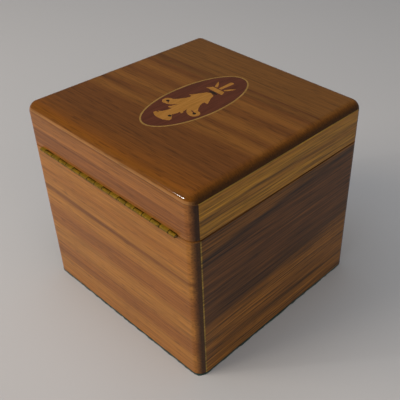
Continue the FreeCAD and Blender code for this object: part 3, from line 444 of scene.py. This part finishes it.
def metal(name, dull, bright, roughness, blotch, bare=1.0, gaps=None):
    """Old metal: a soft shine, dull blotches of a size in millimetres, and painted shade where gaps repeat along it."""
    material, tree, shader, place, _ = start_material(name, Specular_IOR_Level=0.2)
    stain = add(tree, "ShaderNodeTexNoise", {
        "Vector": place, "Scale": 1 / blotch, "Detail": STAIN_DETAIL,
    }).outputs["Fac"]
    stained = add(tree, "ShaderNodeValToRGB", {"Fac": stain}, list(zip(STAIN_EDGE, (dull, bright))))
    colour = stained.outputs["Color"]
    if gaps:
        along = add(tree, "ShaderNodeSeparateXYZ", {"Vector": place}).outputs
        away = add(tree, "ShaderNodeMath", {0: along["X"], 1: gaps / 2}, operation="PINGPONG")
        barrel = add(tree, "ShaderNodeMapRange", {
            "Value": along["Y"], "From Min": BARREL_EDGE[0], "From Max": BARREL_EDGE[1],
        })
        # Painted shade, darkest at each gap between the knuckles, on the barrel only.
        gap_shade = add(tree, "ShaderNodeMapRange", {
            "Value": away.outputs["Value"], "From Min": GAP_SHADE_EDGE[0], "From Max": GAP_SHADE_EDGE[1],
            "To Max": barrel.outputs["Result"],
        })
        colour = add(tree, "ShaderNodeMix", {
            0: gap_shade.outputs["Result"], MIX_FROM: colour, MIX_TO: linear(GAP_SHADE),
        }, data_type="RGBA").outputs[MIX_RESULT]
    tree.links.new(colour, shader.inputs["Base Color"])
    tarnish = {"Roughness": (roughness + TARNISH_ROUGHER, roughness), "Metallic": (bare - TARNISH_DULLER, bare)}
    for socket, (tarnished, clean) in tarnish.items():
        share = add(tree, "ShaderNodeMapRange", {
            "Value": stain, "From Min": TARNISH_EDGE[0], "From Max": TARNISH_EDGE[1],
            "To Min": tarnished, "To Max": clean,
        })
        tree.links.new(share.outputs["Result"], shader.inputs[socket])
    return material


finishes |= {
    "brass": metal("brass_rolled_tarnished", "8a7028", "b0923c", roughness=0.36, blotch=6, bare=0.7),
    "hinge": metal(
        "brass_barrel_gap_shaded", "5e4a0c", "846614", roughness=0.42, blotch=2, bare=0.3, gaps=KNUCKLE_PITCH),
    "steel": metal("steel_drawn_plain", "7c7a76", "a9a7a2", roughness=0.35, blotch=4),
}
print("metals: brass, hinge brass and steel")

# %% [markdown]
# Baize is felted wool: no shine at all, a tangle of fibres and a faint sheen where the nap stands up against the light.
# A wool fibre is a few hundredths of a millimetre thick, so the nap is drawn as tufts of fibres.

# %% Felted wool
WOOL = {"Roughness": 0.95, "Sheen_Weight": 0.3, "Sheen_Roughness": 0.5}
TUFT_SIZE = 0.625
TUFT_DETAIL = 6
TUFT_ROUGHNESS = 0.75
TUFT_EDGE = (0.35, 0.65)
NAP_STRENGTH = 0.5
NAP_HEIGHT = 0.3 * MM


def felt(name, dark, light):
    """Napped wool: matt, mottled by its fibres, with a soft sheen at grazing light."""
    material, tree, shader, place, _ = start_material(name, **WOOL)
    nap = add(tree, "ShaderNodeTexNoise", {
        "Vector": place, "Scale": 1 / TUFT_SIZE, "Detail": TUFT_DETAIL, "Roughness": TUFT_ROUGHNESS,
    }).outputs["Fac"]
    colour = add(tree, "ShaderNodeValToRGB", {"Fac": nap}, list(zip(TUFT_EDGE, (dark, light))))
    tree.links.new(colour.outputs["Color"], shader.inputs["Base Color"])
    tangle = add(tree, "ShaderNodeBump", {"Height": nap, "Strength": NAP_STRENGTH, "Distance": NAP_HEIGHT})
    tree.links.new(tangle.outputs["Normal"], shader.inputs["Normal"])
    return material


finishes["baize"] = felt("baize_wool_napped", "0a201c", "184038")
print("other finishes:", sorted(finishes))

# %% [markdown]
# The construction's meshes are loose triangles, which shade as facets. A copy is merged into one skin,
# its flat triangles are joined into whole faces,
# and its edges are marked sharp only where the material really turns a corner.
# Face-weighted normals then keep the flats flat and let the roundover run smoothly.

# %% Carry the construction over
MERGE = 0.001 * MM
FLAT = math.radians(0.2)
SHARP = math.radians(32)
BEVEL_STEPS = 2


def clean_copy(node):
    """A bmesh with the shape of a CAD node: doubles merged, flat triangles joined."""
    mesh = bmesh.new()
    mesh.from_mesh(frame["nodes"][node].data)
    bmesh.ops.remove_doubles(mesh, verts=mesh.verts, dist=MERGE)
    bmesh.ops.dissolve_limit(mesh, angle_limit=FLAT, verts=mesh.verts, edges=mesh.edges)
    return mesh


def finish_piece(mesh, name, node, material, worn=0):
    """Turn a bmesh into a piece that stands for a CAD node; worn is the width of its blunted edges."""
    for face in mesh.faces:
        face.smooth = True
    for edge in mesh.edges:
        edge.smooth = edge.calc_face_angle(math.pi) < SHARP
    data = bpy.data.meshes.new(name)
    mesh.to_mesh(data)
    mesh.free()
    data.materials.append(material)
    piece = bpy.data.objects.new(name, data)
    bpy.context.scene.collection.objects.link(piece)
    if worn:
        blunt = piece.modifiers.new("blunted_edges", "BEVEL")
        blunt.width = worn
        blunt.segments = BEVEL_STEPS
        blunt.angle_limit = SHARP
        blunt.harden_normals = True
    else:
        normals = piece.modifiers.new("even_normals", "WEIGHTED_NORMAL")
        normals.keep_sharp = True
    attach(piece, frame["nodes"][node]["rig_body"])
    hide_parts(node)
    return piece


print("ready to carry", len(frame["nodes"]), "nodes over")

# %% [markdown]
# Boards are planed, rebated and glued, and the oval's veneers are sawn to fit one another and let into the top.
# The construction has these shapes already, so only the finish is new.

# %% Boards and marquetry
VENEERS = ("mahogany", "boxwood", "ebony")
slots = {row["node"]: row["material_slot"] for row in frame["record"]["subparts"]}
veneers = [node for node, slot in slots.items() if slot in VENEERS and node != "inlay_leaf"]
for node, wood in woods.items():
    finish_piece(clean_copy(node), f"{node}_lacquered", node, wood)
for node in veneers:
    finish = finishes["stringing" if node == "inlay_stringing" else slots[node]]
    finish_piece(clean_copy(node), f"{node}_veneer", node, finish)
print("boards:", len(woods), "veneers:", len(veneers))

# %% [markdown]
# Two pieces need cuts in a flat face: the leaf of the oval and the heads of the screws.
# Both times a face is divided along straight lines, so the same two helpers serve:
# one finds the faces that look along a direction, one gathers them with their rims for the cut.

# %% Helpers for cuts
SQUARE_ON = 0.99


def looking(mesh, direction):
    """The faces of a bmesh that look straight along a direction."""
    return [face for face in mesh.faces if face.normal.dot(direction) > SQUARE_ON]


def with_rims(faces):
    """Faces with their corners and edges, each once, in a fixed order."""
    rims = [part for face in faces for part in list(face.verts) + list(face.edges)]
    return list(dict.fromkeys(rims)) + faces


print("helpers for cuts ready")

# %% [markdown]
# The leaf is sawn from boxwood with a fret saw. Its finest cuts are nicks and slits about a millimetre wide,
# into which the dark wood of the ground reaches. They are too fine for the construction,
# so they are drawn in the leaf's top: the face is divided along the three sides of each slit,
# and the parts inside it take the ground's veneer.

# %% Saw cuts of the leaf
# The three corners of each slit, in millimetres from the middle of the top.
SAW_CUTS = [
    [(-3.9, 10.4), (-6.0, 14.0), (-4.6, 14.6)], [(3.6, 11.0), (6.2, 14.2), (4.9, 15.0)],
    [(-3.5, 15.9), (-6.3, 16.4), (-3.6, 19.2)], [(2.6, 15.9), (5.7, 16.6), (2.9, 19.2)],
    [(-4.9, -0.7), (-8.6, -0.5), (-5.6, 2.0)], [(5.2, -0.9), (8.6, -1.5), (5.9, 2.0)],
    [(2.2, -10.6), (6.9, -1.8), (9.0, -6.0)], [(-6.4, 10.0), (-10.2, 10.9), (-10.2, 12.3)],
    [(8.0, 13.6), (10.0, 11.2), (10.8, 12.4)], [(-2.4, 20.2), (-6.8, 24.6), (-6.5, 20.0)],
    [(3.6, 23.6), (6.4, 23.0), (6.6, 24.2)],
]


def sides(corners):
    """The three sides of a slit, as a point on each and the direction that leads out of the slit."""
    spots = [Vector((x, y, 0)) * MM for x, y in corners]
    middle = sum(spots, Vector()) / len(spots)
    for start, end in zip(spots, spots[1:] + spots[:1]):
        out = (end - start).cross(UP)
        yield start, out if out.dot(middle - start) < 0 else -out


def within(spot, corners):
    """Whether a spot lies inside a slit."""
    return all((spot - start).dot(out) < 0 for start, out in sides(corners))


leaf = clean_copy("inlay_leaf")
bmesh.ops.triangulate(leaf, faces=looking(leaf, UP))
for corners in SAW_CUTS:
    for start, out in sides(corners):
        tops = with_rims(looking(leaf, UP))
        bmesh.ops.bisect_plane(leaf, geom=tops, plane_co=start, plane_no=out, dist=MERGE)
cut_area = 0
for face in looking(leaf, UP):
    if any(within(face.calc_center_median(), corners) for corners in SAW_CUTS):
        face.material_index = 1
        cut_area += face.calc_area()
bmesh.ops.dissolve_limit(leaf, angle_limit=FLAT, verts=leaf.verts, edges=leaf.edges, delimit={"MATERIAL"})
leaf_piece = finish_piece(leaf, "inlay_leaf_veneer", "inlay_leaf", finishes["boxwood"])
leaf_piece.data.materials.append(finishes["mahogany"])
print("saw cuts:", len(SAW_CUTS), "of", round(cut_area / MM ** 2, 1), "square millimetres in all")

# %% [markdown]
# Hinge and lock are stamped from sheet and drawn from wire. Tumbling blunts such edges,
# and a blunt edge catches the light, so each metal piece gets a bevel of a few hundredths of a millimetre.
# The screws are handled apart, because their heads have slots.

# %% Brass and steel
WORN = 0.06 * MM
metal_nodes = [node for node, slot in slots.items() if slot in ("brass", "steel") and "screws" not in node]
for node in metal_nodes:
    finish = finishes["hinge" if node.startswith("hinge_leaf") else slots[node]]
    finish_piece(clean_copy(node), f"{node}_{slots[node]}", node, finish, WORN)
print("metal pieces:", len(metal_nodes))

# %% [markdown]
# A wood screw's head has one straight slot, sawn across its flat top.
# Each head's top face is cut along both sides of the slot, and the strip between them is pushed down into the head.
# No two screws in a row stop at the same angle.

# %% Slotted screws
SLOT_WIDTH = 0.5 * MM
SLOT_DEPTH = 0.28 * MM
SLOT_TURN = 1.1
HEAD_REACH = 1.2 * MM
HEAD_DIRECTIONS = {
    "hinge_screws_body": Vector((0, 0, 1)), "hinge_screws_lid": Vector((0, 0, -1)),
    "lock_screws": Vector((0, 1, 0)), "strike_screws": Vector((0, 1, 0)),
}


def head_faces(mesh, up, middle, reach):
    """The faces that look up within reach of a head's middle."""
    return [face for face in looking(mesh, up) if (face.calc_center_median() - middle).length < reach]


def slot_heads(mesh, up):
    """Saw a slot into every head whose top faces up."""
    middles = [face.calc_center_median() for face in looking(mesh, up)]
    for number, middle in enumerate(middles):
        side = Matrix.Rotation(SLOT_TURN * (number + 1), 3, up) @ up.orthogonal()
        for edge in (-SLOT_WIDTH / 2, SLOT_WIDTH / 2):
            head = with_rims(head_faces(mesh, up, middle, HEAD_REACH))
            bmesh.ops.bisect_plane(mesh, geom=head, plane_co=middle + side * edge, plane_no=side)
        strip = head_faces(mesh, up, middle, SLOT_WIDTH / 4)
        sunk = bmesh.ops.extrude_face_region(mesh, geom=strip)["geom"]
        bmesh.ops.delete(mesh, geom=strip, context="FACES_ONLY")
        moved = [part for part in sunk if isinstance(part, bmesh.types.BMVert)]
        bmesh.ops.translate(mesh, verts=moved, vec=-up * SLOT_DEPTH)
    return len(middles)


for node, up in HEAD_DIRECTIONS.items():
    screws = clean_copy(node)
    print(node, "slots:", slot_heads(screws, up))
    finish_piece(screws, f"{node}_slotted", node, finishes["brass"])

# %% [markdown]
# Baize is cut with scissors and glued on, so its edge is never quite straight
# and a few fibres stand out past the boards. The plain solid's rim is divided into short lengths,
# and a fixed noise pushes each point in or out by a few tenths of a millimetre.

# %% Baize under the base
PROUD = 0.4 * MM
FRAY = 0.5 * MM
FRAY_SPACING = 2 * MM
FRAY_TANGLE = 1.7
UNDERSIDE = -0.9

baize = clean_copy("base_baize")
rim = [edge for edge in baize.edges if abs(edge.verts[0].co.z - edge.verts[1].co.z) < MERGE]
longest = max(edge.calc_length() for edge in rim)
rim = [edge for edge in rim if edge.calc_length() > longest / 2]
bmesh.ops.subdivide_edges(baize, edges=rim, cuts=round(longest / FRAY_SPACING))
for vert in baize.verts:
    outwards = Vector((vert.co.x, vert.co.y, 0)).normalized()
    loose = noise.noise(vert.co / FRAY_SPACING * FRAY_TANGLE)
    vert.co += outwards * (PROUD + FRAY * loose)
sheet_area = sum(face.calc_area() for face in baize.faces if face.normal.z < UNDERSIDE)
baize_piece = finish_piece(baize, "base_baize_cloth", "base_baize", finishes["baize"])

# %% [markdown]
# The box stands on plain pale paper. It reaches far past the picture, so no edge shows,
# and it belongs to the stage: it isn't a piece of the box.

# %% Floor
FLOOR_SIZE = 4
FLOOR_GREY = "b2b1b0"

floor_mesh = bmesh.new()
bmesh.ops.create_grid(floor_mesh, x_segments=1, y_segments=1, size=FLOOR_SIZE)
floor_data = bpy.data.meshes.new("floor")
floor_mesh.to_mesh(floor_data)
floor_mesh.free()
floor = bpy.data.objects.new("floor", floor_data)
bpy.context.scene.collection.objects.link(floor)
# Matt paper: a flat grey that takes a soft shadow.
paper, *_ = start_material(
    "paper_pale_grey", Base_Color=linear(FLOOR_GREY), Roughness=0.9, Specular_IOR_Level=0.2)
floor.data.materials.append(paper)
print("floor ready")

# %% [markdown]
# The light is that of a room. The key is a broad warm panel to the left of the view,
# so the back of the box is bright and the left side is in shade, with a soft shadow beside it.
# A wide panel overhead stands for the ceiling, and a weak fill on the right lifts the shade.
# Lacquer mirrors a panel as a pale patch, so these three are kept out of reflections,
# and one small lamp gives the single glint on the near corner.

# %% Light
BOX_MIDDLE = Vector((0, 0, 0.06))
ROOM_STRENGTH = 0.14


def panel(name, place, width, height, power, colour, mirrored=True):
    """A soft light that faces the box."""
    lamp = bpy.data.lights.new(name, "AREA")
    lamp.shape = "RECTANGLE"
    lamp.size = width
    lamp.size_y = height
    lamp.energy = power
    lamp.color = linear(colour)[:3]
    made = bpy.data.objects.new(name, lamp)
    aim = (BOX_MIDDLE - Vector(place)).to_track_quat("-Z", "Y")
    made.matrix_world = Matrix.Translation(place) @ aim.to_matrix().to_4x4()
    made.visible_glossy = mirrored
    bpy.context.scene.collection.objects.link(made)


panel("key_panel", (0.55, 0.9, 0.8), width=0.7, height=0.7, power=10.2, colour="ffeedb", mirrored=False)
panel("ceiling_panel", (0.1, 0.2, 1.6), width=1.6, height=1.6, power=15.5, colour="eef5ff", mirrored=False)
panel("fill_panel", (-1.3, 0.3, 0.8), width=1, height=1, power=5, colour="ffeedc", mirrored=False)
panel("glint_strip", (0.6, 0.85, 0.5), width=0.03, height=0.1, power=1.3, colour="ffffff")
world = bpy.data.worlds.new("soft_room")
world.use_nodes = True
room = world.node_tree.nodes["Background"]
room.inputs["Color"].default_value = linear("ffffff")
room.inputs["Strength"].default_value = ROOM_STRENGTH
bpy.context.scene.world = world
print("light: key, ceiling, fill and glint in a dim room")
